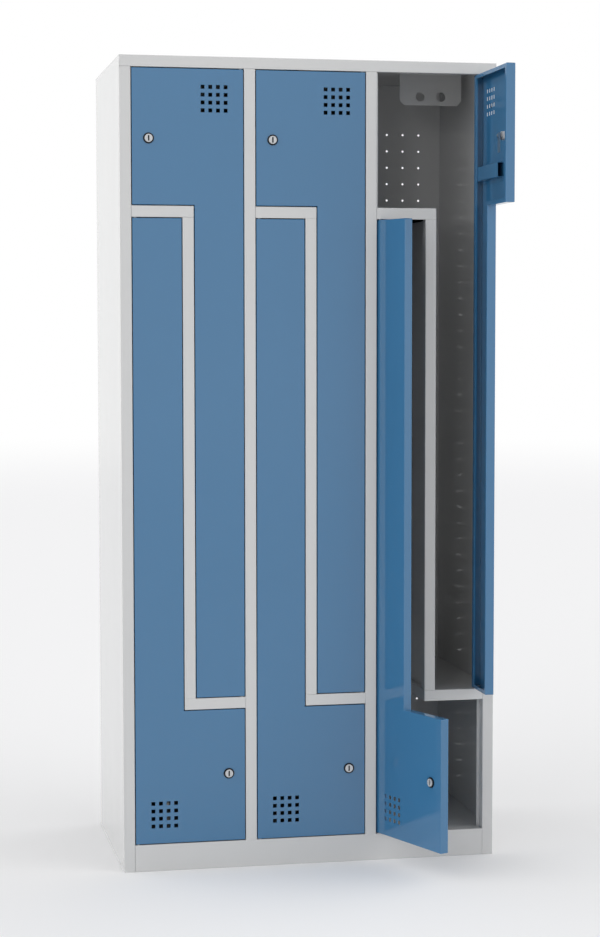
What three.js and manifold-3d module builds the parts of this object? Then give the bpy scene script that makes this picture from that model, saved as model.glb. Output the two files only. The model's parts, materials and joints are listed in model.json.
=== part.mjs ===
// Sheet-steel locker in three bays, each with two L-shaped doors that fit into each other.
// Millimetres, +Z up, +X to the right, +Y to the back. The origin is on the floor, mid-width,
// at the middle of the front plinth's foot flange.
import * as THREE from "three";
import { mergeVertices } from "three/addons/utils/BufferGeometryUtils.js";
import Module from "manifold-3d";

const wasm = await Module();
wasm.setup();

// Carcass, overall
const lockerHeight = 1800;
const lockerWidth = 850;
const lockerDepth = 480;
const bayCount = 3;
const boxHeight = 300; // clear height of the wide part of each compartment

// Carcass, folded sheet
const sheet = 0.8;
const seam = 0.3; // clearance between sheets that are welded or screwed together
const stileWidth = 25;
const railHeight = 25;
const jambDepth = 22; // how far stiles and rails fold back behind the front
const stopLip = 7; // door stop, turned out of the jamb into the bay
const plinthHeight = 60;
const footDepth = 40;
const footFlange = 20;
const rearFlange = 20;
const shelfHem = 15; // turned-down rear edge of a shelf

// Ventilation holes of the back panel
const backHoleRadius = 2.5;
const backHolePitch = 40;
const backHoleColumns = 3;
const backHoleMargin = 30.5; // from the right edge of a bay to the nearest column
const backHoleFloorGap = 20; // from the floor of the lockers to the lowest row
const backHoleRoofGap = 100; // least distance from the roof to the highest row
const backHoleSides = 4;

// Hanger plate
const hangerSheet = 1.5;
const hangerHeight = 75;
const hangerWidth = 148; // of a plate under the roof; one under a shelf fits between its walls
const hangerSetback = 200; // from the front of the locker
const hangerFlange = 20;
const hangerSideGap = 0.7; // from a plate under a shelf to the walls
const hangerChamfer = 11;
const hookHoleRadius = 10.5;
const hookHoleSpacing = 50;
const hookHoleRise = 20; // from the plate's lower edge to the hole centres
const hookHoleSides = 10;

// Doors
const doorSheet = 0.8;
const doorDepth = 20;
const doorGap = 2; // all round, between a door and its frame
const doorHem = 8.5; // inturned edge behind the door's flanges
const hingeHem = 16; // the same at the hinge edge, where it stiffens the leg
const hingeLip = 4; // depth of the lip that this wider edge turns back towards the face
const pivotInset = 6; // from the door's hinge edge to the pivot
const pivotSetback = 5; // from the door's face to the pivot
const upperDoorAngle = 90; // how far the doors of the last bay stand open, in degrees
const lowerDoorAngle = 68.2;

// Door vents
const ventCount = 4;
const ventSize = 8;
const ventPitch = 17;
const ventInset = 39; // from the door's edges to the first hole's centre

// Door stiffener, a hat channel across the wide part
const stiffenerHeight = 32;
const stiffenerDepth = 14;
const stiffenerFlange = 8;
const stiffenerRise = 75; // from the lower edge of the wide part to the channel's middle
const stiffenerHingeGap = 12;
const stiffenerFreeGap = 78;

// Pivot pins
const pinRadius = 2.2;
const pinHeadRadius = 3.4;
const pinHeadHeight = 3;
const pinCollarRadius = 4;
const pinReach = 6; // into the frame, past its sheet
const pinSides = 6;

// Cam lock
const lockInset = 36.5; // from the door's free edge to the lock's axis
const lockRise = 152; // from the door's end to the lock's axis
const bezelRadius = 12;
const bezelProud = 1.6;
const barrelRadius = 9.4;
const barrelEnd = 19.5; // behind the door's face
const discRadius = 8.9;
const discProud = 0.5; // in front of the bezel
const discThickness = 1.2;
const shaftRadius = 5;
const keySlotWidth = 2.5;
const keySlotHeight = 12;
const keySlotDepth = 0.9;
const camSetback = 23.8; // cam's front face behind the door's face
const camThickness = 2;
const camWidth = 14;
const camTipGap = 0.5; // the cam's tip stays this far inside the door's free edge
const camNutRadius = 4;
const camNutHeight = 2;
const camNutSides = 6;
const lockSides = 10;

// Fits
const runningGap = 0.3; // round a turning shaft
const overrun = 5; // how far a cutting tool passes the sheet

// Worked out from the sizes above
const bayWidth = (lockerWidth - (bayCount + 1) * stileWidth) / bayCount;
const bayPitch = bayWidth + stileWidth;
const bayMiddle = bayWidth / 2;
const halfStile = stileWidth / 2;
const topRailZ = lockerHeight - railHeight;
const upperShelfZ = topRailZ - boxHeight;
const lowerShelfZ = plinthHeight + boxHeight + railHeight;
const returnDepth = jambDepth - seam;
const behindJamb = jambDepth + sheet + seam;
const roofZ = lockerHeight - sheet - seam;
const backPanelY = lockerDepth - sheet - seam - sheet;
const rearY = backPanelY - seam;
const doorHeight = topRailZ - lowerShelfZ - 2 * doorGap;
const doorWide = bayWidth - 2 * doorGap;
const doorNarrow = bayMiddle - halfStile - 2 * doorGap;
const doorWideHeight = boxHeight - 2 * doorGap;
const faceY = -pivotSetback;
const backY = faceY + doorDepth;
const camLength = lockInset - camTipGap;
const bezelFront = faceY - seam - bezelProud;
const discFront = bezelFront - discProud;

const frameGrey = new THREE.Color("#c9cacb");
const doorBlue = new THREE.Color("#5c88aa");
const paintedFrame = new THREE.MeshStandardMaterial({ color: frameGrey, roughness: 0.3, metalness: 0 });
const paintedDoor = new THREE.MeshStandardMaterial({ color: doorBlue, roughness: 0.28, metalness: 0 });
const zincPin = new THREE.MeshStandardMaterial({ color: "#b4b7ba", roughness: 0.35, metalness: 1 });
const blackBezel = new THREE.MeshStandardMaterial({ color: "#26292c", roughness: 0.4, metalness: 0 });
const chromePlug = new THREE.MeshStandardMaterial({ color: "#d2d4d6", roughness: 0.2, metalness: 1 });

// Turns a drawn geometry into a solid: shared corners are merged and flat slivers dropped
function solidFrom(geometry) {
  geometry.deleteAttribute("normal");
  geometry.deleteAttribute("uv");
  const merged = mergeVertices(geometry);
  const corners = merged.index.array;
  const kept = [];
  for (let i = 0; i < corners.length; i += 3) {
    const [a, b, c] = corners.slice(i, i + 3);
    if (a !== b && b !== c && c !== a) kept.push(a, b, c);
  }
  const drawn = new wasm.Mesh({
    numProp: 3,
    vertProperties: new Float32Array(merged.attributes.position.array),
    triVerts: new Uint32Array(kept),
  });
  return new wasm.Manifold(drawn);
}

function geometryFrom(solid) {
  const drawn = solid.getMesh();
  const geometry = new THREE.BufferGeometry();
  geometry.setAttribute("position", new THREE.BufferAttribute(drawn.vertProperties, 3));
  geometry.setIndex(new THREE.BufferAttribute(drawn.triVerts, 1));
  geometry.computeVertexNormals();
  return geometry;
}

function point(u, v) {
  return new THREE.Vector2(u, v);
}

// Moves a line of points to its left by one distance, keeping mitred corners
function offsetLine(points, distance, closed) {
  const last = points.length - 1;
  return points.map((here, i) => {
    const before = points[i === 0 ? last : i - 1];
    const after = points[i === last ? 0 : i + 1];
    const arriving = here.clone().sub(before).normalize();
    const leaving = after.clone().sub(here).normalize();
    if (!closed && i === 0) arriving.copy(leaving);
    if (!closed && i === last) leaving.copy(arriving);
    const leftIn = point(-arriving.y, arriving.x);
    const leftOut = point(-leaving.y, leaving.x);
    const share = 1 + leftIn.dot(leftOut);
    return here.clone().addScaledVector(leftIn.add(leftOut), distance / share);
  });
}

// Section of a folded sheet: its outer line and the same line one thickness to its left
function folded(path, thickness) {
  return [...path, ...offsetLine(path, thickness, false).reverse()];
}

// Outlines are drawn in (y, z) for a run along x, in (x, z) along y and in (x, y) along z
const runs = {
  x: new THREE.Matrix4().makeBasis(
    new THREE.Vector3(0, 1, 0), new THREE.Vector3(0, 0, 1), new THREE.Vector3(1, 0, 0)),
  y: new THREE.Matrix4().makeBasis(
    new THREE.Vector3(1, 0, 0), new THREE.Vector3(0, 0, 1), new THREE.Vector3(0, -1, 0)),
  z: new THREE.Matrix4(),
};

function run(axis, outline, from, to) {
  const shape = new THREE.Shape(outline);
  const geometry = new THREE.ExtrudeGeometry(shape, { depth: to - from, bevelEnabled: false });
  geometry.translate(0, 0, axis === "y" ? -to : from);
  geometry.applyMatrix4(runs[axis]);
  return solidFrom(geometry);
}

function block(low, high) {
  const size = high.map((value, i) => value - low[i]);
  const geometry = new THREE.BoxGeometry(...size);
  geometry.translate(...low.map((value, i) => value + size[i] / 2));
  return solidFrom(geometry);
}

function circle(u, v, radius, sides) {
  return Array.from({ length: sides }, (_, i) => {
    const angle = (i + 0.5) * 2 * Math.PI / sides;
    return point(u + radius * Math.cos(angle), v + radius * Math.sin(angle));
  });
}

// A bore round a turning shaft: its flats, too, stay one running gap off the shaft's corners
function boreRadius(radius, sides) {
  return (radius + runningGap) / Math.cos(Math.PI / sides);
}

function cutAll(solid, tools) {
  return tools.reduce((rest, tool) => rest.subtract(tool), solid);
}

function addMesh(parent, name, geometry, material) {
  const mesh = new THREE.Mesh(geometry, material);
  mesh.name = name;
  parent.add(mesh);
  return mesh;
}

// The locker is drawn from its lower left front corner and then moved to the part's origin
const locker = new THREE.Group();
locker.position.set(-lockerWidth / 2, -footDepth / 2, 0);

function bayLeft(bay) {
  return stileWidth + bay * bayPitch;
}

// Inner face of the sheet that closes a bay at its left or right
function leftWall(bay) {
  return bayLeft(bay) - (bay === 0 ? stileWidth - sheet : halfStile - sheet / 2);
}

function rightWall(bay) {
  const last = bay === bayCount - 1;
  return bayLeft(bay) + bayWidth + (last ? stileWidth - sheet : halfStile - sheet / 2);
}

// Hinge axes of the doors, in the locker's own corner coordinates
function upperPivot(bay) {
  return point(bayLeft(bay) + bayWidth - doorGap - pivotInset, pivotSetback);
}

function lowerPivot(bay) {
  return point(bayLeft(bay) + doorGap + pivotInset, pivotSetback);
}

function pinHole(pivot, low, high) {
  const bore = boreRadius(pinRadius, pinSides);
  return run("z", circle(pivot.x, pivot.y, bore, pinSides), low - overrun, high + overrun);
}

// Side panel: one sheet folded into the rear flange, the side, the stile, the jamb and the stop
function sidePanel(mirrored) {
  const path = [
    point(rearFlange, lockerDepth),
    point(0, lockerDepth),
    point(0, 0),
    point(stileWidth, 0),
    point(stileWidth, jambDepth),
    point(stileWidth + stopLip, jambDepth),
  ];
  const wrap = run("z", folded(path, sheet), 0, roofZ);
  const foot = block([sheet / 2, behindJamb + footFlange, 0], [footFlange, rearY - footFlange, sheet]);
  const behindRail = block(
    [sheet + seam, -overrun, topRailZ - seam],
    [stileWidth + stopLip + overrun, behindJamb, lockerHeight]);
  const railEdge = block([-overrun, -overrun, topRailZ - seam], [stileWidth, sheet + seam, lockerHeight]);
  const besidePlinth = block(
    [stileWidth, -overrun, -overrun],
    [stileWidth + stopLip + overrun, behindJamb, plinthHeight + seam]);
  const geometry = geometryFrom(cutAll(wrap.add(foot), [behindRail, railEdge, besidePlinth]));
  if (!mirrored) return geometry;
  // The right panel is the same folding seen in a mirror, so its triangles are turned round too
  geometry.scale(-1, 1, 1);
  geometry.translate(lockerWidth, 0, 0);
  geometry.setIndex(Array.from(geometry.index.array).reverse());
  geometry.computeVertexNormals();
  return geometry;
}

// Roof with its rear flange, front rail and the rail's return, which holds the upper pivots
function topPanel() {
  const path = [
    point(lockerDepth, lockerHeight - rearFlange),
    point(lockerDepth, lockerHeight),
    point(0, lockerHeight),
    point(0, topRailZ),
    point(returnDepth, topRailZ),
  ];
  const wrap = run("x", folded(path, sheet), 0, lockerWidth);
  const cuts = [];
  for (const [low, high] of [[-overrun, 0], [lockerWidth, lockerWidth + overrun]]) {
    const flangeReach = rearFlange + seam;
    cuts.push(block(
      [low - flangeReach, lockerDepth - sheet - seam, topRailZ - overrun],
      [high + flangeReach, lockerDepth + overrun, roofZ + seam]));
    const sideReach = sheet + seam;
    cuts.push(block(
      [low - sideReach, sheet + seam / 2, topRailZ - overrun],
      [high + sideReach, behindJamb, topRailZ + sheet + seam]));
  }
  for (let bay = 0; bay < bayCount; bay += 1) {
    cuts.push(pinHole(upperPivot(bay), topRailZ, topRailZ + sheet));
  }
  return geometryFrom(cutAll(wrap, cuts));
}

// Front plinth between the outer stiles: sill on top, foot flange on the floor
function plinth() {
  const path = [
    point(returnDepth, plinthHeight),
    point(0, plinthHeight),
    point(0, 0),
    point(footDepth, 0),
  ];
  const wrap = run("x", folded(path, sheet), stileWidth + seam, lockerWidth - stileWidth - seam);
  const holes = Array.from({ length: bayCount }, (_, bay) =>
    pinHole(lowerPivot(bay), plinthHeight - sheet, plinthHeight));
  return geometryFrom(cutAll(wrap, holes));
}

// Compartment floor, folded down at the back into the rear plinth
function floorPanel() {
  const path = [
    point(lockerDepth - footFlange, 0),
    point(lockerDepth, 0),
    point(lockerDepth, plinthHeight),
    point(behindJamb, plinthHeight),
  ];
  const side = sheet + seam;
  const wrap = run("x", folded(path, sheet), side, lockerWidth - side);
  const cuts = [];
  for (const [low, high] of [[-overrun, side], [lockerWidth - side, lockerWidth + overrun]]) {
    cuts.push(block(
      [low - rearFlange + sheet, rearY, -overrun],
      [high + rearFlange - sheet, lockerDepth + overrun, plinthHeight + overrun]));
  }
  return geometryFrom(cutAll(wrap, cuts));
}

// Back panel behind all bays, pierced with a grid of ventilation holes in each bay
function backPanel() {
  const side = sheet + seam;
  const panel = block(
    [side, backPanelY, plinthHeight + seam],
    [lockerWidth - side, backPanelY + sheet, roofZ]);
  const lowest = plinthHeight + backHoleFloorGap;
  const rows = 1 + Math.floor((roofZ - backHoleRoofGap - lowest) / backHolePitch);
  const cuts = [];
  for (let bay = 0; bay < bayCount; bay += 1) {
    for (let column = 0; column < backHoleColumns; column += 1) {
      const x = bayLeft(bay) + bayWidth - backHoleMargin - column * backHolePitch;
      for (let row = 0; row < rows; row += 1) {
        const hole = circle(x, lowest + row * backHolePitch, backHoleRadius, backHoleSides);
        cuts.push(run("y", hole, backPanelY - overrun, lockerDepth + overrun));
      }
    }
  }
  return geometryFrom(cutAll(panel, cuts));
}

// Uprights and the webs behind them are drawn about their own middle plane
const channel = [
  point(-halfStile, jambDepth),
  point(-halfStile, 0),
  point(halfStile, 0),
  point(halfStile, jambDepth),
];
const channelWithStops = [
  point(-halfStile - stopLip, jambDepth),
  ...channel,
  point(halfStile + stopLip, jambDepth),
];

function web(front, back, low, high) {
  return block([-sheet / 2, front, low], [sheet / 2, back, high]);
}

// Partition between two bays, from the sill to the roof
function partition() {
  const low = plinthHeight + seam;
  const high = topRailZ - seam;
  const upright = run("z", folded(channelWithStops, sheet), low, high);
  const post = upright.add(web(sheet / 2, rearY, low, high));
  return geometryFrom(post.add(web(behindJamb, rearY, low, roofZ)));
}

// Short partition in the middle of a bay, between the lower and the upper shelf. Its upright
// has no stops: the doors' legs close against it edge to edge.
function midDivider() {
  const low = lowerShelfZ + seam;
  const high = upperShelfZ - railHeight - seam;
  const upright = run("z", folded(channel, sheet), low, high);
  const post = upright.add(web(sheet / 2, rearY, low, high));
  const beforeHem = rearY - sheet - seam;
  return geometryFrom(post.add(web(behindJamb, beforeHem, low, upperShelfZ - sheet - seam)));
}

// Shelf: rear hem, deck, front rail and the rail's return, closed by a flange at its free end.
// wallX is the wall that the deck meets, stileX the stile face there, freeX the free end.
function shelf(top, wallX, stileX, freeX, hole) {
  const towards = Math.sign(freeX - wallX);
  const path = [
    point(rearY, top - shelfHem),
    point(rearY, top),
    point(0, top),
    point(0, top - railHeight),
    point(returnDepth, top - railHeight),
  ];
  const deckX = wallX + towards * seam;
  const wrap = run("x", folded(path, sheet), Math.min(deckX, freeX), Math.max(deckX, freeX));
  const beyond = deckX - towards * overrun;
  const notch = (endX, front, back) => block(
    [Math.min(beyond, endX), front, top - railHeight - overrun],
    [Math.max(beyond, endX), back, top + overrun]);
  const besideStile = notch(stileX + towards * seam, -overrun, returnDepth);
  const besideStop = notch(stileX + towards * (stopLip + seam), returnDepth, behindJamb);
  const flangeX = freeX - towards * sheet;
  const flange = block(
    [Math.min(freeX, flangeX), 0, top - railHeight],
    [Math.max(freeX, flangeX), rearY, top]);
  return geometryFrom(cutAll(wrap, [besideStile, besideStop]).add(flange).subtract(hole));
}

// The lower door's top pin turns in the return under the upper shelf's rail
function upperShelf(bay) {
  const returnZ = upperShelfZ - railHeight;
  const freeX = bayLeft(bay) + bayMiddle + halfStile;
  const hole = pinHole(lowerPivot(bay), returnZ, returnZ + sheet);
  return shelf(upperShelfZ, leftWall(bay), bayLeft(bay), freeX, hole);
}

// The upper door's bottom pin turns in the deck of the lower shelf
function lowerShelf(bay) {
  const stileX = bayLeft(bay) + bayWidth;
  const freeX = bayLeft(bay) + bayMiddle - halfStile;
  const hole = pinHole(upperPivot(bay), lowerShelfZ - sheet, lowerShelfZ);
  return shelf(lowerShelfZ, rightWall(bay), stileX, freeX, hole);
}

// Hanger plate with two holes, hung by its top flange under a roof or shelf
function hangerPlate(left, right, ceilingZ) {
  const middle = (left + right) / 2;
  const top = ceilingZ - seam;
  const bottom = top - hangerHeight;
  const shape = new THREE.Shape([
    point(left, top),
    point(left, bottom + hangerChamfer),
    point(left + hangerChamfer, bottom),
    point(right - hangerChamfer, bottom),
    point(right, bottom + hangerChamfer),
    point(right, top),
  ]);
  for (const side of [-1, 1]) {
    const x = middle + side * hookHoleSpacing / 2;
    shape.holes.push(new THREE.Path(circle(x, bottom + hookHoleRise, hookHoleRadius, hookHoleSides)));
  }
  const geometry = new THREE.ExtrudeGeometry(shape, { depth: hangerSheet, bevelEnabled: false });
  geometry.translate(0, 0, -hangerSetback - hangerSheet);
  geometry.applyMatrix4(runs.y);
  const flange = block(
    [left, hangerSetback, top - hangerSheet],
    [right, hangerSetback + hangerFlange, top]);
  return geometryFrom(solidFrom(geometry).add(flange));
}

function addCarcass() {
  addMesh(locker, "side_panel_left", sidePanel(false), paintedFrame);
  addMesh(locker, "side_panel_right", sidePanel(true), paintedFrame);
  addMesh(locker, "top_panel", topPanel(), paintedFrame);
  addMesh(locker, "plinth", plinth(), paintedFrame);
  addMesh(locker, "floor_panel", floorPanel(), paintedFrame);
  addMesh(locker, "back_panel", backPanel(), paintedFrame);
  const partitionGeometry = partition();
  for (let bay = 1; bay < bayCount; bay += 1) {
    const post = addMesh(locker, `partition_${bay}`, partitionGeometry, paintedFrame);
    post.position.x = bayLeft(bay) - halfStile;
  }
  const dividerGeometry = midDivider();
  for (let bay = 0; bay < bayCount; bay += 1) {
    const middle = bayLeft(bay) + bayMiddle;
    const divider = addMesh(locker, `mid_divider_${bay + 1}`, dividerGeometry, paintedFrame);
    divider.position.x = middle;
    addMesh(locker, `upper_shelf_${bay + 1}`, upperShelf(bay), paintedFrame);
    addMesh(locker, `lower_shelf_${bay + 1}`, lowerShelf(bay), paintedFrame);
    const stileX = bayLeft(bay) + bayWidth;
    const underRoof = hangerPlate(stileX - hangerWidth, stileX, roofZ + seam);
    addMesh(locker, `hanger_plate_upper_${bay + 1}`, underRoof, paintedFrame);
    const underShelf = hangerPlate(
      leftWall(bay) + hangerSideGap,
      middle - sheet / 2 - hangerSideGap,
      upperShelfZ - sheet);
    addMesh(locker, `hanger_plate_lower_${bay + 1}`, underShelf, paintedFrame);
  }
}

// Doors are drawn as an upper door: the pivot axis is x = y = 0, the middle of its height z = 0,
// the hinge edge on the right. A lower door is the same door turned half round about y.
const halfHeight = doorHeight / 2;
const hingeX = pivotInset;
const wideX = pivotInset - doorWide;
const narrowX = pivotInset - doorNarrow;
const stepZ = halfHeight - doorWideHeight;
const lockX = wideX + lockInset;
const lockZ = halfHeight - lockRise;

function doorOutline(inset) {
  const corners = [
    point(hingeX, -halfHeight),
    point(hingeX, halfHeight),
    point(wideX, halfHeight),
    point(wideX, stepZ),
    point(narrowX, stepZ),
    point(narrowX, -halfHeight),
  ];
  return offsetLine(corners, inset, true);
}

// L-shaped pan with flanges all round, a hem behind them, vents, lock hole and pin holes.
// At the hinge edge the hem is wider and ends in a lip.
function doorPan() {
  const outer = run("y", doorOutline(0), faceY, backY);
  const hollow = run("y", doorOutline(doorSheet), faceY + doorSheet, backY - doorSheet);
  const mouthEnd = halfHeight - doorSheet - doorHem;
  const lipX = hingeX - doorSheet - hingeHem;
  const mouth = run("y", doorOutline(doorSheet + doorHem), faceY + doorSheet, backY + overrun)
    .subtract(block([lipX, faceY, -halfHeight], [hingeX, backY + overrun + overrun, halfHeight]));
  const lip = block([lipX, backY - hingeLip, -mouthEnd], [lipX + doorSheet, backY, mouthEnd]);
  const cuts = [hollow, mouth];
  for (let column = 0; column < ventCount; column += 1) {
    for (let row = 0; row < ventCount; row += 1) {
      const x = hingeX - ventInset - column * ventPitch;
      const z = halfHeight - ventInset - row * ventPitch;
      cuts.push(block(
        [x - ventSize / 2, faceY - overrun, z - ventSize / 2],
        [x + ventSize / 2, faceY + overrun, z + ventSize / 2]));
    }
  }
  const lockBore = boreRadius(barrelRadius, lockSides);
  cuts.push(run("y", circle(lockX, lockZ, lockBore, lockSides), faceY - overrun, faceY + overrun));
  const bore = boreRadius(pinRadius, pinSides);
  for (const end of [-halfHeight, halfHeight]) {
    cuts.push(run("z", circle(0, 0, bore, pinSides), end - overrun, end + overrun));
  }
  return geometryFrom(cutAll(outer, cuts).add(lip));
}

// Hat channel behind the face of the wide part
function stiffener() {
  const middle = stepZ + stiffenerRise;
  const half = stiffenerHeight / 2;
  const seat = faceY + doorSheet + seam + doorSheet;
  const crown = faceY + doorSheet + seam + stiffenerDepth;
  const path = [
    point(seat, middle - half - stiffenerFlange),
    point(seat, middle - half),
    point(crown, middle - half),
    point(crown, middle + half),
    point(seat, middle + half),
    point(seat, middle + half + stiffenerFlange),
  ];
  const section = folded(path, doorSheet);
  return geometryFrom(run("x", section, wideX + stiffenerFreeGap, hingeX - stiffenerHingeGap));
}

// Pivot pin: head inside the door, collar in the gap to the frame, shank through the frame's sheet
function pivotPin() {
  const flangeIn = halfHeight - doorSheet;
  const profile = [
    [0, flangeIn - seam - pinHeadHeight],
    [pinHeadRadius, flangeIn - seam - pinHeadHeight],
    [pinHeadRadius, flangeIn - seam],
    [pinRadius, flangeIn - seam],
    [pinRadius, halfHeight + seam],
    [pinCollarRadius, halfHeight + seam],
    [pinCollarRadius, halfHeight + doorGap - seam],
    [pinRadius, halfHeight + doorGap - seam],
    [pinRadius, halfHeight + doorGap + sheet + pinReach],
    [0, halfHeight + doorGap + sheet + pinReach],
  ].map(([r, z]) => point(r, z));
  const geometry = new THREE.LatheGeometry(profile, pinSides);
  geometry.rotateX(Math.PI / 2);
  geometry.rotateZ(Math.PI / pinSides);
  return geometryFrom(solidFrom(geometry));
}

// Lock housing: bezel in front of the door and barrel through it
function lockHousing() {
  const bezel = run("y", circle(lockX, lockZ, bezelRadius, lockSides), bezelFront, faceY - seam);
  const barrel = run("y", circle(lockX, lockZ, barrelRadius, lockSides), bezelFront, faceY + barrelEnd);
  const recess = boreRadius(discRadius, lockSides);
  const recessFloor = discFront + discThickness + seam;
  const mouth = run("y", circle(lockX, lockZ, recess, lockSides), bezelFront - overrun, recessFloor);
  const bore = boreRadius(shaftRadius, lockSides);
  const hole = run("y", circle(lockX, lockZ, bore, lockSides), bezelFront - overrun, backY + overrun);
  return geometryFrom(cutAll(bezel.add(barrel), [mouth, hole]));
}

// Key plug: disc with a key slot, shaft through the housing, cam and its nut at the rear.
// Drawn about its own axis; the cam hangs down.
function lockPlug() {
  const camFront = faceY + camSetback;
  const camBack = camFront + camThickness;
  const disc = run("y", circle(0, 0, discRadius, lockSides), discFront, discFront + discThickness);
  const shaft = run("y", circle(0, 0, shaftRadius, lockSides), discFront, camFront + camThickness / 2);
  const camShape = new THREE.Shape();
  camShape.moveTo(-camWidth / 2, -camLength);
  camShape.lineTo(camWidth / 2, -camLength);
  camShape.lineTo(camWidth / 2, 0);
  camShape.absarc(0, 0, camWidth / 2, 0, Math.PI, false);
  const cam = run("y", camShape.getPoints(lockSides / 2), camFront, camBack);
  const nutFront = camBack - camThickness / 2;
  const nut = run("y", circle(0, 0, camNutRadius, camNutSides), nutFront, camBack + camNutHeight);
  const slot = block(
    [-keySlotWidth / 2, discFront - overrun, -keySlotHeight / 2],
    [keySlotWidth / 2, discFront + keySlotDepth, keySlotHeight / 2]);
  return geometryFrom(disc.add(shaft).add(cam).add(nut).subtract(slot));
}

function addDoors() {
  const panGeometry = doorPan();
  const stiffenerGeometry = stiffener();
  const pinGeometry = pivotPin();
  const housingGeometry = lockHousing();
  const plugGeometry = lockPlug();
  const upperMiddle = (topRailZ + lowerShelfZ) / 2;
  const lowerMiddle = (plinthHeight + upperShelfZ - railHeight) / 2;
  for (let bay = 0; bay < bayCount; bay += 1) {
    const open = bay === bayCount - 1;
    const rows = [
      { row: "upper", pivot: upperPivot(bay), middle: upperMiddle, angle: open ? upperDoorAngle : 0 },
      { row: "lower", pivot: lowerPivot(bay), middle: lowerMiddle, angle: open ? -lowerDoorAngle : 0 },
    ];
    for (const { row, pivot, middle, angle } of rows) {
      const turned = row === "lower";
      const hinge = new THREE.Group();
      hinge.position.set(pivot.x, pivot.y, middle);
      hinge.rotation.z = THREE.MathUtils.degToRad(angle);
      locker.add(hinge);
      const leaf = new THREE.Group();
      leaf.rotation.y = turned ? Math.PI : 0;
      hinge.add(leaf);
      const label = `${row}_${bay + 1}`;
      addMesh(leaf, `door_${label}`, panGeometry, paintedDoor);
      addMesh(leaf, `stiffener_${label}`, stiffenerGeometry, paintedDoor);
      const pinNames = turned ? ["pin_bottom", "pin_top"] : ["pin_top", "pin_bottom"];
      addMesh(leaf, `${pinNames[0]}_${label}`, pinGeometry, zincPin);
      const farPin = addMesh(leaf, `${pinNames[1]}_${label}`, pinGeometry, zincPin);
      farPin.rotation.y = Math.PI;
      addMesh(leaf, `lock_housing_${label}`, housingGeometry, blackBezel);
      const plug = addMesh(leaf, `lock_plug_${label}`, plugGeometry, chromePlug);
      plug.position.set(lockX, 0, lockZ);
      plug.rotation.y = turned ? Math.PI : 0;
    }
  }
}

addCarcass();
addDoors();

export default locker;
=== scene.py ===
import json
import math

import bmesh
import bpy
from mathutils import Matrix, Vector


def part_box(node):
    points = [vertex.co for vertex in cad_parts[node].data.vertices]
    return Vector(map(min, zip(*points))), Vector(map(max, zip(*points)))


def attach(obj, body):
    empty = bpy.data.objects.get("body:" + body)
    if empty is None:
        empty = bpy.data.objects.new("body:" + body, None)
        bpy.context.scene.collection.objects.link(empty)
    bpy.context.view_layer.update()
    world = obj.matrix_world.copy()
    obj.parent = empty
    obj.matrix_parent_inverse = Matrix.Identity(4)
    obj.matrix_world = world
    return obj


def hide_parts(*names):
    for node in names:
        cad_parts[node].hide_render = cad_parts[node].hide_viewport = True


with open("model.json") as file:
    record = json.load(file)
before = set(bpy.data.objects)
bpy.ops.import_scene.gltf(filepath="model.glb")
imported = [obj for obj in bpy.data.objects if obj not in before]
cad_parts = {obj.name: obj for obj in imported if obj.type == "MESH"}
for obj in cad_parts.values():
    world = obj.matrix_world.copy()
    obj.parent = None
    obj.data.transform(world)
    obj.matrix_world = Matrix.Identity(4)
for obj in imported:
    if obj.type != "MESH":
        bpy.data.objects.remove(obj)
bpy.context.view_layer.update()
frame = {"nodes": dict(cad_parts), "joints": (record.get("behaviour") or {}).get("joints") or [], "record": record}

# L-door locker in folded sheet steel: three bays, two L-shaped doors in each. Metres, Z up.
mm = 0.001
cadNodes = frame["nodes"]
joints = {joint["name"]: joint for joint in frame["joints"]}
bodyOf = {node: body for body, names in frame["record"]["behaviour"]["bodies"].items() for node in names}


# Materials

# An sRGB hex colour as the linear one that a shader takes
def linear(hexColour):
    channels = [int(hexColour[i:i + 2], 16) / 255 for i in (1, 3, 5)]
    return tuple(c / 12.92 if c <= 0.04045 else ((c + 0.055) / 1.055) ** 2.4 for c in channels) + (1,)


# A number names a socket of a Mix, Math or shader-mixing node, as those repeat their sockets' names
def addNode(tree, kind, settings=None, links=None):
    node = tree.nodes.new(kind)
    for name, value in (settings or {}).items():
        if isinstance(name, int) or name in node.inputs:
            node.inputs[name].default_value = value
        else:
            setattr(node, name, value)
    for name, source in (links or {}).items():
        tree.links.new(source, node.inputs[name])
    return node


def emptyMaterial(name):
    material = bpy.data.materials.new(name)
    material.use_nodes = True
    material.node_tree.nodes.clear()
    return material, material.node_tree


# Polyester powder, sprayed on and baked: a hard glossy skin with a soft orange peel
powderLook = {
    "cloudSize": 240,  # mm, slow drift of the coat's thickness
    "cloudDetail": 2,
    "glossPatch": 90,
    "glossDetail": 3,
    "peelSize": 3.2,  # mm, the real peel is nearer 1.5 and would not show
    "peelDetail": 1,
    "peelHeight": 0.006,
    "ior": 1.75,  # the pigmented skin mirrors more than clear resin does
}


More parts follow.
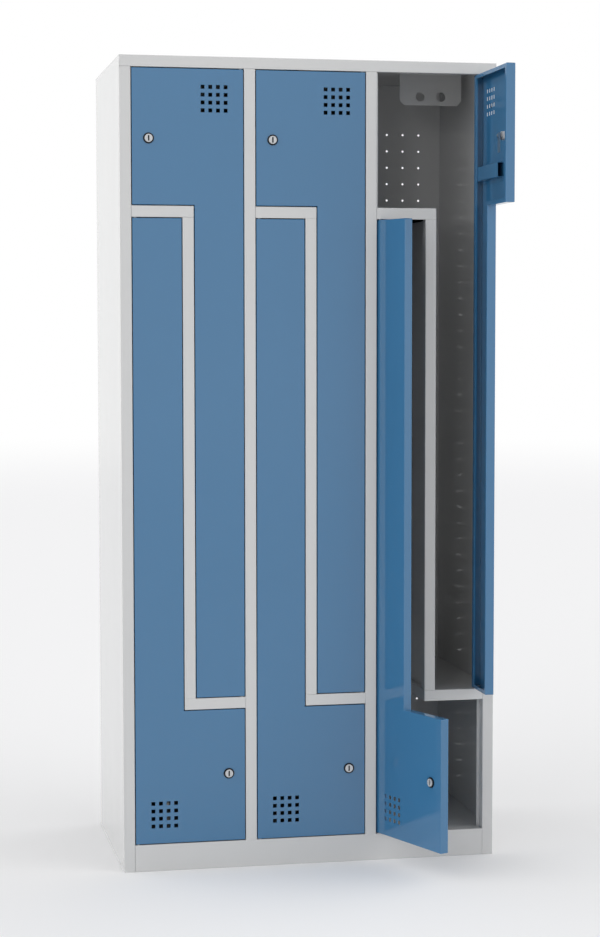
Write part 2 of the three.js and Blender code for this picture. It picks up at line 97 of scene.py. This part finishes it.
def powderCoat(name, colour, thickColour, smoothest, roughest):
    look = powderLook
    material, tree = emptyMaterial(name)
    place = addNode(tree, "ShaderNodeTexCoord").outputs["Object"]
    cloud = addNode(tree, "ShaderNodeTexNoise",
                    {"Scale": 1 / (look["cloudSize"] * mm), "Detail": look["cloudDetail"]}, {"Vector": place})
    tint = addNode(tree, "ShaderNodeMix",
                   {"data_type": "RGBA", 6: linear(colour), 7: linear(thickColour)},
                   {0: cloud.outputs["Fac"]})
    patch = addNode(tree, "ShaderNodeTexNoise",
                    {"Scale": 1 / (look["glossPatch"] * mm), "Detail": look["glossDetail"]},
                    {"Vector": place})
    gloss = addNode(tree, "ShaderNodeMapRange", {"To Min": smoothest, "To Max": roughest},
                    {"Value": patch.outputs["Fac"]})
    peel = addNode(tree, "ShaderNodeTexNoise",
                   {"Scale": 1 / (look["peelSize"] * mm), "Detail": look["peelDetail"]}, {"Vector": place})
    bump = addNode(tree, "ShaderNodeBump", {"Strength": 1, "Distance": look["peelHeight"] * mm},
                   {"Height": peel.outputs["Fac"]})
    shader = addNode(tree, "ShaderNodeBsdfPrincipled", {"IOR": look["ior"]},
                     {"Base Color": tint.outputs[2], "Roughness": gloss.outputs["Result"],
                      "Normal": bump.outputs["Normal"]})
    addNode(tree, "ShaderNodeOutputMaterial", links={"Surface": shader.outputs["BSDF"]})
    return material


# Plated metal: bright, with fine scratches that run one way. Satin nickel also scatters light, as if
# it were only partly metal, so it stays bright where it mirrors something dark.
platedLook = {"scratchSize": 0.35, "scratchDetail": 3, "scratchStretch": 14, "scratchHeight": 0.004,
              "satinShare": 0.5}


def platedMetal(name, colour, dullColour, smoothest, roughest, metalShare=1):
    look = platedLook
    material, tree = emptyMaterial(name)
    place = addNode(tree, "ShaderNodeTexCoord").outputs["Object"]
    stretched = addNode(tree, "ShaderNodeMapping", {"Scale": (look["scratchStretch"], 1, 1)},
                        {"Vector": place})
    scratch = addNode(tree, "ShaderNodeTexNoise",
                      {"Scale": 1 / (look["scratchSize"] * mm), "Detail": look["scratchDetail"]},
                      {"Vector": stretched.outputs["Vector"]})
    tint = addNode(tree, "ShaderNodeMix",
                   {"data_type": "RGBA", 6: linear(colour), 7: linear(dullColour)},
                   {0: scratch.outputs["Fac"]})
    gloss = addNode(tree, "ShaderNodeMapRange", {"To Min": smoothest, "To Max": roughest},
                    {"Value": scratch.outputs["Fac"]})
    bump = addNode(tree, "ShaderNodeBump", {"Strength": 1, "Distance": look["scratchHeight"] * mm},
                   {"Height": scratch.outputs["Fac"]})
    shader = addNode(tree, "ShaderNodeBsdfPrincipled", {"Metallic": metalShare},
                     {"Base Color": tint.outputs[2], "Roughness": gloss.outputs["Result"],
                      "Normal": bump.outputs["Normal"]})
    addNode(tree, "ShaderNodeOutputMaterial", links={"Surface": shader.outputs["BSDF"]})
    return material


# The frame's and doors' paints are glossy. The hanger plates' paint is a darker semi-matt grey.
framePaint = powderCoat("lightGreyPowderCoat", "#c6c7c7", "#cacaca", 0.1, 0.15)
platePaint = powderCoat("semiMattGreyPowderCoat", "#a8a9a9", "#acacac", 0.38, 0.46)
doorPaint = powderCoat("bluePowderCoat", "#346c95", "#376f99", 0.09, 0.14)

# Nickel is the lock's bright barrel and disc, plain zinc its shaft and the pins, blue zinc the dull bluish
# cam and nut, and spring steel the clip. Black zinc is the dark ring, whose black is also painted shade round
# the disc, and the keyway, a black floor that is painted shade deep in the key slot.
nickelPlate = platedMetal("satinNickelPlatedZinc", "#cccdce", "#bbbdbf", 0.25, 0.38, platedLook["satinShare"])
zincPlate = platedMetal("zincPlatedSteel", "#b3b8bc", "#9aa0a5", 0.28, 0.42)
blueZinc = platedMetal("bluePassivatedZinc", "#64809a", "#59758f", 0.4, 0.55, platedLook["satinShare"])
# The ring's black is partly a black bezel and partly painted shade round the disc. The keyway's black floor is
# painted shade in the key slot.
blackZincAndPaintedShade = platedMetal("blackPassivatedZinc", "#2c2f33", "#202327", 0.3, 0.45)
springSteel = platedMetal("blueTemperedSpringSteel", "#3c4650", "#2c343d", 0.3, 0.42)
print("materials ready")


# Shared steps: each shape is drawn in mm about its own zero, front towards -Y, and then placed

standing = Matrix.Rotation(math.radians(90), 4, "X")  # turns a flat ring to face the front
touching = 0.001  # mm, points this near each other count as one place


def addRing(shape, x, z, radius, segments):
    bmesh.ops.create_circle(shape, segments=segments, radius=radius,
                            matrix=Matrix.Translation((x, 0, z)) @ standing)


def addOutline(shape, points):
    corners = [shape.verts.new((x, 0, z)) for x, z in points]
    for start, end in zip(corners, corners[1:] + corners[:1]):
        shape.edges.new((start, end))


def move(shape, vector, parts=None):
    points = [part for part in parts or shape.verts if isinstance(part, bmesh.types.BMVert)]
    bmesh.ops.translate(shape, vec=vector, verts=points)


def fillPlate(shape, front, back):
    bmesh.ops.triangle_fill(shape, edges=shape.edges[:], use_beauty=True, use_dissolve=False)
    move(shape, (0, front, 0))
    grown = bmesh.ops.extrude_face_region(shape, geom=shape.faces[:])["geom"]
    move(shape, (0, back - front, 0), grown)
    bmesh.ops.recalc_face_normals(shape, faces=shape.faces[:])


def turnedShape(profile, steps):
    shape = bmesh.new()
    corners = [shape.verts.new((radius, depth, 0)) for radius, depth in profile]
    edges = [shape.edges.new(pair) for pair in zip(corners, corners[1:])]
    bmesh.ops.spin(shape, geom=corners + edges, axis=(0, 1, 0), cent=(0, 0, 0), angle=2 * math.pi,
                   steps=steps, use_merge=True)
    bmesh.ops.remove_doubles(shape, verts=shape.verts[:], dist=touching)
    bmesh.ops.recalc_face_normals(shape, faces=shape.faces[:])
    return shape


def addPiece(name, shape, paint, nodeName):
    mesh = bpy.data.meshes.new(name)
    shape.to_mesh(mesh)
    shape.free()
    mesh.materials.append(paint)
    piece = bpy.data.objects.new(name, mesh)
    bpy.context.scene.collection.objects.link(piece)
    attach(piece, bodyOf[nodeName])
    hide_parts(nodeName)
    return piece


def placed(shape, frameMatrix):
    bmesh.ops.scale(shape, vec=(mm, mm, mm), verts=shape.verts[:])
    bmesh.ops.transform(shape, matrix=frameMatrix, verts=shape.verts[:])
    return shape


# Turned and punched parts: every edge sharper than this angle is eased
edgeLook = {"fromAngle": 35, "segments": 2}


def smoothEdges(piece, width, segments=edgeLook["segments"], limit="ANGLE"):
    piece.data.polygons.foreach_set("use_smooth", [True] * len(piece.data.polygons))
    bevel = piece.modifiers.new("rounding", "BEVEL")
    bevel.width = width * mm
    bevel.segments = segments
    bevel.limit_method = limit
    bevel.angle_limit = math.radians(edgeLook["fromAngle"])
    bevel.use_clamp_overlap = limit == "ANGLE"
    flatten = piece.modifiers.new("flatFaces", "WEIGHTED_NORMAL")
    flatten.keep_sharp = True


def camelName(nodeName):
    first, *rest = nodeName.split("_")
    return first + "".join(word.capitalize() for word in rest)


# Folded sheet: each fold gets its bend radius, each cut edge is only deburred

foldLook = {
    "sheet": 0.8, "outerRadius": 1.6, "innerRadius": 0.8, "deburr": 0.15, "segments": 3,
    "flatAngle": 0.5,  # degrees, a smaller angle is no edge
    "sharpAngle": 30,
    "shortest": 3,  # mm, a shorter edge is a cut corner and no fold
    "parallel": 0.999, "pairSlack": 0.1,
    "coat": 0.12, "coatRounds": 8, "seam": 0.02, "speck": 0.05,
    "vent": 8, "ventEase": 0.4, "ventSlack": 0.01,
}


# A fold is a hollow edge and a proud edge that run side by side, the sheet's diagonal apart. The bevel
# weight of any other proud edge only breaks its sharpness.
def markFolds(shape):
    weights = shape.edges.layers.float.new("bevel_weight_edge")
    sharp = [edge for edge in shape.edges if edge.calc_face_angle(0) > math.radians(foldLook["sharpAngle"])]
    long = [edge for edge in sharp if edge.calc_length() > foldLook["shortest"] * mm]
    hollow = [edge for edge in long if edge.calc_face_angle_signed(0) < 0]
    proud = [edge for edge in long if edge.calc_face_angle_signed(0) > 0]
    for edge in sharp:
        if edge.calc_face_angle_signed(0) > 0:
            edge[weights] = foldLook["deburr"] / foldLook["outerRadius"]
    diagonal = (foldLook["sheet"] + 2 * foldLook["coat"]) * math.sqrt(2) * mm
    for inner in hollow:
        start = inner.verts[0].co
        along = (inner.verts[1].co - start).normalized()
        for outer in proud:
            lean = abs((outer.verts[1].co - outer.verts[0].co).normalized().dot(along))
            middle = (outer.verts[0].co + outer.verts[1].co) / 2 - start
            away = (middle - along * middle.dot(along)).length
            if lean > foldLook["parallel"] and abs(away - diagonal) < foldLook["pairSlack"] * mm:
                outer[weights] = 1
                inner[weights] = foldLook["innerRadius"] / foldLook["outerRadius"]
    for edge in sharp:
        edge.smooth = edge[weights] > 0


# How a corner moves, so that each face that meets there moves out by the coat's thickness
def coatShift(corner):
    shift = Vector()
    for face in list(corner.link_faces) * foldLook["coatRounds"]:
        shift += face.normal * (foldLook["coat"] * mm - face.normal.dot(shift))
    return shift


# The vents' walls are told by their size. They move out, as the real vents are a little wider.
def widenVents(shape):
    wallArea = foldLook["vent"] * foldLook["sheet"] * mm * mm
    walls = [face for face in shape.faces if abs(face.calc_area() / wallArea - 1) < foldLook["ventSlack"]]
    for wall in walls:
        for corner in wall.verts:
            corner.co -= wall.normal * foldLook["ventEase"] * mm


# The coat fills the seams between the sheets, so no light comes through them. Corners that it brings
# together become one.
def foldedPiece(nodeName, paint):
    shape = bmesh.new()
    shape.from_mesh(cadNodes[nodeName].data)
    bmesh.ops.remove_doubles(shape, verts=shape.verts, dist=foldLook["seam"] * mm)
    bmesh.ops.dissolve_limit(shape, angle_limit=math.radians(foldLook["flatAngle"]), verts=shape.verts,
                             edges=shape.edges)
    shape.normal_update()
    widenVents(shape)
    shifts = [coatShift(corner) for corner in shape.verts]
    for corner, shift in zip(shape.verts, shifts):
        corner.co += shift
    bmesh.ops.dissolve_degenerate(shape, dist=foldLook["speck"] * mm, edges=shape.edges)
    shape.normal_update()
    markFolds(shape)
    piece = addPiece(camelName(nodeName), shape, paint, nodeName)
    smoothEdges(piece, foldLook["outerRadius"], foldLook["segments"], "WEIGHT")


carcassNames = ("side_panel_", "top_panel", "plinth", "floor_panel", "partition_", "mid_divider_",
                "upper_shelf_", "lower_shelf_")
for nodeName in cadNodes:
    if nodeName.startswith(carcassNames):
        foldedPiece(nodeName, framePaint)
    if nodeName.startswith(("door_", "stiffener_")):
        foldedPiece(nodeName, doorPaint)
print("folded sheets ready")


# Back panel: round punched holes on one grid, three columns in each bay

backLook = {"holeRadius": 2.5, "holeSides": 12, "pitch": 40, "columns": 3, "rows": 41, "lowestRow": 80,
            "fromBayEdge": 30.5, "bayEdges": (-150, 125, 400)}


def addBackPanel():
    low, high = [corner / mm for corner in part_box("back_panel")]
    shape = bmesh.new()
    addOutline(shape, [(low.x, low.z), (high.x, low.z), (high.x, high.z), (low.x, high.z)])
    for bayEdge in backLook["bayEdges"]:
        for column in range(backLook["columns"]):
            x = bayEdge - backLook["fromBayEdge"] - column * backLook["pitch"]
            for row in range(backLook["rows"]):
                addRing(shape, x, backLook["lowestRow"] + row * backLook["pitch"], backLook["holeRadius"],
                        backLook["holeSides"])
    fillPlate(shape, low.y, high.y)
    addPiece("backPanel", placed(shape, Matrix()), framePaint, "back_panel")


addBackPanel()
print("back panel ready")


# Hanger plate: punched flat, then its top is bent back to a flange

hangerLook = {"sheet": 1.5, "holeRadius": 10.5, "holeSides": 40, "holeSpacing": 50, "holeRise": 20,
              "chamfer": 11, "bendRadius": 2.2, "bendSteps": 5, "deburr": 0.3}


def hangerPlate(nodeName):
    low, high = [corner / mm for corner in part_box(nodeName)]
    half = hangerLook["sheet"] / 2
    radius = hangerLook["bendRadius"]
    middle = (low.x + high.x) / 2
    bendStart = high.z - half - radius
    bendLength = radius * math.pi / 2
    flatTop = bendStart + bendLength + (high.y - low.y - half - radius)
    cut = hangerLook["chamfer"]
    shape = bmesh.new()
    addOutline(shape, [(low.x + cut, low.z), (high.x - cut, low.z), (high.x, low.z + cut), (high.x, flatTop),
                       (low.x, flatTop), (low.x, low.z + cut)])
    for side in (-1, 1):
        addRing(shape, middle + side * hangerLook["holeSpacing"] / 2, low.z + hangerLook["holeRise"],
                hangerLook["holeRadius"], hangerLook["holeSides"])
    bmesh.ops.triangle_fill(shape, edges=shape.edges[:], use_beauty=True, use_dissolve=False)
    for step in range(hangerLook["bendSteps"] + 1):
        height = bendStart + bendLength * step / hangerLook["bendSteps"]
        bmesh.ops.bisect_plane(shape, geom=shape.verts[:] + shape.edges[:] + shape.faces[:], dist=touching,
                               plane_co=(0, 0, height), plane_no=(0, 0, 1))
    for corner in shape.verts:
        run = max(corner.co.z - bendStart, 0)
        angle = min(run / radius, math.pi / 2)
        corner.co.y = low.y + half + radius * (1 - math.cos(angle)) + max(run - bendLength, 0)
        corner.co.z = min(corner.co.z, bendStart) + radius * math.sin(angle)
    bmesh.ops.recalc_face_normals(shape, faces=shape.faces[:])
    piece = addPiece(camelName(nodeName), placed(shape, Matrix()), platePaint, nodeName)
    thicken = piece.modifiers.new("sheet", "SOLIDIFY")
    thicken.thickness = hangerLook["sheet"] * mm
    thicken.offset = 0
    smoothEdges(piece, hangerLook["deburr"])


for nodeName in cadNodes:
    if nodeName.startswith("hanger_plate_"):
        hangerPlate(nodeName)
print("hanger plates ready")


# Pivot pins, turned and zinc plated. The profile runs from the head to the rounded tip.

pinLook = {"head": 3.4, "headEnd": 3, "shank": 2.2, "collar": 4, "collarStart": 4.4, "collarEnd": 5.8,
           "length": 12.9, "tip": 1, "ease": 0.3, "steps": 24}


def pivotPin(nodeName):
    look = pinLook
    low, high = [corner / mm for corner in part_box(nodeName)]
    shape = turnedShape([
        (0, 0), (look["head"], 0), (look["head"], look["headEnd"]), (look["shank"], look["headEnd"]),
        (look["shank"], look["collarStart"]), (look["collar"], look["collarStart"]),
        (look["collar"], look["collarEnd"]), (look["shank"], look["collarEnd"]),
        (look["shank"], look["length"] - look["tip"]), (look["shank"] - look["tip"], look["length"]),
        (0, look["length"]),
    ], look["steps"])
    headDown = "pin_top" in nodeName
    turn = Matrix.Rotation(math.radians(90 if headDown else -90), 4, "X")
    foot = Vector(((low.x + high.x) / 2, (low.y + high.y) / 2, low.z if headDown else high.z))
    place = Matrix.Translation(foot * mm) @ turn
    piece = addPiece(camelName(nodeName), placed(shape, place), zincPlate, nodeName)
    smoothEdges(piece, look["ease"])


for nodeName in cadNodes:
    if nodeName.startswith("pin_"):
        pivotPin(nodeName)
print("pivot pins ready")


# Cam locks, in mm about the plug's axis: X right, Y inward, Z up. The door's face is at Y -5.

lockLook = {
    "ring": 11.8, "ringFront": -6.9, "ringBack": -5.3, "recess": 9.2, "recessDepth": -5.9,
    "barrel": 9.4, "barrelEnd": 14.5, "bore": 5.5, "threadStart": -1, "threadPitch": 1.5, "threadDepth": 0.45,
    "disc": 8.9, "discFront": -9.6, "discBack": -6.2, "slotWidth": 3, "slotHeight": 12, "slotDepth": 3,
    "shaft": 5, "stud": 2.4, "studEnd": 24.4, "shaftSteps": 24,
    "camFront": 18.8, "camBack": 20.8, "camWidth": 14, "camReach": 36, "camTopCorner": 6.86,
    "camTipCorner": 2.5, "camSegments": 10,
    "nut": 4.6, "nutEnd": 23.2, "nutSides": 6,
    "clipStart": -3.9, "clipEnd": -2.9, "clipWidth": 25, "clipReach": 13, "clipGap": 9.6, "clipCorner": 8.64,
    "clipSegments": 8,
    "flatAngle": 1,  # degrees, a smaller angle is no edge
    "steps": 48, "ease": 0.25, "threadEase": 0.1, "discEase": 0.7,
}


def lockFrame(label):
    joint = joints[f"lock_{label}_turn"]
    inward = Vector(joint["axis"]) * (1 if label.startswith("upper") else -1)
    up = Vector((0, 0, 1))
    right = inward.cross(up)
    place = Matrix((right, inward, up)).transposed().to_4x4()
    return Matrix.Translation(joint["pos_m"]) @ place


def lockPiece(label, part, shape, paint, node, ease):
    name = camelName(f"lock_{part}_{label}")
    piece = addPiece(name, placed(shape, lockFrame(label)), paint, f"{node}_{label}")
    smoothEdges(piece, ease)


# Rounds the corners at one height: the edges there that run from front to back
def roundCorners(shape, height, radius, segments):
    corners = [edge for edge in shape.edges if all(abs(v.co.z - height) < touching for v in edge.verts)
               and abs(edge.verts[0].co.x - edge.verts[1].co.x) < touching]
    bmesh.ops.bevel(shape, geom=corners, offset=radius, offset_type="OFFSET", segments=segments, profile=0.5,
                    affect="EDGES", material=-1)


# Housing: a dark ring on the door's face, its black partly painted shade, and a threaded barrel through the sheet
def ringAndBarrel(label):
    look = lockLook
    ring = turnedShape([
        (look["bore"], look["recessDepth"]), (look["recess"], look["recessDepth"]),
        (look["recess"], look["ringFront"]), (look["ring"], look["ringFront"]),
        (look["ring"], look["ringBack"]), (look["bore"], look["ringBack"]),
        (look["bore"], look["recessDepth"]),
    ], look["steps"])
    # The ring's black stands partly for a black bezel and partly for painted shade round the disc
    lockPiece(label, "ring", ring, blackZincAndPaintedShade, "lock_housing", look["ease"])
    profile = [(look["bore"], look["ringBack"]), (look["barrel"], look["ringBack"])]
    turns = int((look["barrelEnd"] - look["threadStart"]) / look["threadPitch"])
    for turn in range(turns):
        crest = look["threadStart"] + turn * look["threadPitch"]
        profile.append((look["barrel"], crest))
        profile.append((look["barrel"] - look["threadDepth"], crest + look["threadPitch"] / 2))
    profile += [(look["barrel"], look["barrelEnd"]), (look["bore"], look["barrelEnd"]),
                (look["bore"], look["ringBack"])]
    barrel = turnedShape(profile, look["steps"])
    lockPiece(label, "barrel", barrel, nickelPlate, "lock_housing", look["threadEase"])


# Spring clip: a flat fork pushed over the barrel behind the door's sheet
def clip(label):
    look = lockLook
    half, reach, gap = look["clipWidth"] / 2, look["clipReach"], look["clipGap"]
    shape = bmesh.new()
    addOutline(shape, [(-half, -reach), (-gap, -reach), (-gap, gap), (gap, gap), (gap, -reach),
                       (half, -reach), (half, reach), (-half, reach)])
    fillPlate(shape, look["clipStart"], look["clipEnd"])
    bmesh.ops.dissolve_limit(shape, angle_limit=math.radians(look["flatAngle"]), verts=shape.verts,
                             edges=shape.edges)
    roundCorners(shape, gap, look["clipCorner"], look["clipSegments"])
    lockPiece(label, "clip", shape, springSteel, "lock_housing", look["threadEase"])


# Key plug: a disc with a key slot over a black keyway, which is painted shade deep in the slot, on a shaft
# that ends in a stud
def plug(label):
    look = lockLook
    slotHalf, slotTop = look["slotWidth"] / 2, look["slotHeight"] / 2
    slotFloor = look["discFront"] + look["slotDepth"]
    disc = bmesh.new()
    addRing(disc, 0, 0, look["disc"], look["steps"])
    addOutline(disc, [(-slotHalf, -slotTop), (slotHalf, -slotTop), (slotHalf, slotTop), (-slotHalf, slotTop)])
    fillPlate(disc, look["discFront"], slotFloor)
    lockPiece(label, "disc", disc, nickelPlate, "lock_plug", look["discEase"])
    # The keyway is a black floor under the slot: painted shade where a real slot is deep and dark
    keyway = turnedShape([(0, slotFloor), (look["disc"], slotFloor), (look["disc"], look["discBack"]),
                          (0, look["discBack"])], look["steps"])
    lockPiece(label, "keyway", keyway, blackZincAndPaintedShade, "lock_plug", look["threadEase"])
    shaft = turnedShape([
        (0, look["discBack"]), (look["shaft"], look["discBack"]), (look["shaft"], look["camFront"]),
        (look["stud"], look["camFront"]), (look["stud"], look["studEnd"]), (0, look["studEnd"]),
    ], look["shaftSteps"])
    lockPiece(label, "shaft", shaft, zincPlate, "lock_plug", look["ease"])


# Cam: a lever with a round top and an eased tip, held by the nut. It hangs down while unlocked.
def cam(label):
    look = lockLook
    half = look["camWidth"] / 2
    shape = bmesh.new()
    addOutline(shape, [(-half, -look["camReach"]), (half, -look["camReach"]), (half, half), (-half, half)])
    fillPlate(shape, look["camFront"], look["camBack"])
    roundCorners(shape, half, look["camTopCorner"], look["camSegments"])
    roundCorners(shape, -look["camReach"], look["camTipCorner"], look["camSegments"])
    lockPiece(label, "cam", shape, blueZinc, "lock_plug", look["ease"])
    nut = bmesh.new()
    addRing(nut, 0, 0, look["nut"], look["nutSides"])
    fillPlate(nut, look["camBack"], look["nutEnd"])
    lockPiece(label, "nut", nut, blueZinc, "lock_plug", look["ease"])


for nodeName in cadNodes:
    if nodeName.startswith("lock_plug_"):
        label = nodeName.removeprefix("lock_plug_")
        ringAndBarrel(label)
        clip(label)
        plug(label)
        cam(label)
print("locks ready")


# Floor, light and camera

# The floor is matt near the locker and fades to the background's white
floorLook = {"radius": 30, "sides": 96, "fadeFrom": 9, "fadeTo": 19, "colour": "#f3f3f4"}


def addFloor():
    material, tree = emptyMaterial("matStudioFloor")
    place = addNode(tree, "ShaderNodeTexCoord").outputs["Object"]
    reach = addNode(tree, "ShaderNodeVectorMath", {"operation": "LENGTH"}, {0: place})
    fade = addNode(tree, "ShaderNodeMapRange",
                   {"interpolation_type": "SMOOTHSTEP", "From Min": floorLook["fadeFrom"],
                    "From Max": floorLook["fadeTo"]}, {"Value": reach.outputs["Value"]})
    matt = addNode(tree, "ShaderNodeBsdfDiffuse", {"Color": linear(floorLook["colour"])})
    glow = addNode(tree, "ShaderNodeEmission", {"Strength": 1})
    mixed = addNode(tree, "ShaderNodeMixShader", links={0: fade.outputs["Result"], 1: matt.outputs["BSDF"],
                                                        2: glow.outputs["Emission"]})
    addNode(tree, "ShaderNodeOutputMaterial", links={"Surface": mixed.outputs["Shader"]})
    shape = bmesh.new()
    bmesh.ops.create_circle(shape, cap_ends=True, segments=floorLook["sides"], radius=floorLook["radius"])
    mesh = bpy.data.meshes.new("studioFloor")
    shape.to_mesh(mesh)
    shape.free()
    mesh.materials.append(material)
    studioFloor = bpy.data.objects.new("studioFloor", mesh)
    bpy.context.scene.collection.objects.link(studioFloor)


# The dome is white to the camera and to reflections. What it lights comes mostly from both sides and
# from above, as from large soft boxes beside the locker, so the compartments stay dark inside.
domeLook = {"allRound": 0.13, "above": 0.5, "sides": 1.78, "frontCorners": 1.15}


def addWorld():
    world = bpy.data.worlds.new("whiteStudio")
    world.use_nodes = True
    tree = world.node_tree
    tree.nodes.clear()
    direction = addNode(tree, "ShaderNodeTexCoord").outputs["Generated"]
    way = addNode(tree, "ShaderNodeSeparateXYZ", links={"Vector": direction})
    aside = addNode(tree, "ShaderNodeMath", {"operation": "ABSOLUTE"}, {0: way.outputs["X"]})
    ahead = addNode(tree, "ShaderNodeMath", {"operation": "MULTIPLY", 1: -domeLook["frontCorners"]},
                    {0: way.outputs["Y"]})
    forward = addNode(tree, "ShaderNodeMath", {"operation": "MAXIMUM", 1: 0}, {0: ahead.outputs[0]})
    spread = addNode(tree, "ShaderNodeMath", {"operation": "MULTIPLY_ADD", 1: domeLook["sides"]},
                     {0: aside.outputs[0], 2: forward.outputs[0]})
    overhead = addNode(tree, "ShaderNodeMath",
                       {"operation": "MULTIPLY_ADD", 1: domeLook["above"], 2: domeLook["allRound"]},
                       {0: way.outputs["Z"]})
    lit = addNode(tree, "ShaderNodeMath", {"operation": "MULTIPLY_ADD"},
                  {0: aside.outputs[0], 1: spread.outputs[0], 2: overhead.outputs[0]})
    ray = addNode(tree, "ShaderNodeLightPath")
    seen = addNode(tree, "ShaderNodeMath", {"operation": "MAXIMUM"},
                   {0: ray.outputs["Is Camera Ray"], 1: ray.outputs["Is Glossy Ray"]})
    strength = addNode(tree, "ShaderNodeMix", {"data_type": "FLOAT", 3: 1},
                       {0: seen.outputs[0], 2: lit.outputs[0]})
    dome = addNode(tree, "ShaderNodeBackground", {"Color": (1, 1, 1, 1)}, {"Strength": strength.outputs[0]})
    addNode(tree, "ShaderNodeOutputWorld", links={"Surface": dome.outputs["Background"]})
    bpy.context.scene.world = world


# Fitted to the photo. The picture is taller than wide, so the sensor's longer side spans its height.
cameraLook = {
    "spot": (-0.96397, -4.65595, 1.21383),
    "yaw": 11.443,
    "pitch": -3.857,
    "roll": -0.056,
    "focalPixels": 2124.546,
    "imageHeight": 937,
    "sensor": 36,
}


def addCamera():
    data = bpy.data.cameras.new("photoCamera")
    data.sensor_width = cameraLook["sensor"]
    data.lens = cameraLook["focalPixels"] * cameraLook["sensor"] / cameraLook["imageHeight"]
    camera = bpy.data.objects.new("photoCamera", data)
    turn = Matrix.Rotation(-math.radians(cameraLook["yaw"]), 4, "Z")
    tilt = Matrix.Rotation(math.radians(90 + cameraLook["pitch"]), 4, "X")
    roll = Matrix.Rotation(math.radians(cameraLook["roll"]), 4, "Z")
    camera.matrix_world = Matrix.Translation(cameraLook["spot"]) @ turn @ tilt @ roll
    bpy.context.scene.collection.objects.link(camera)
    bpy.context.scene.camera = camera


addFloor()
addWorld()
addCamera()
bpy.context.scene.view_settings.view_transform = "Standard"
print("floor, light and camera ready")
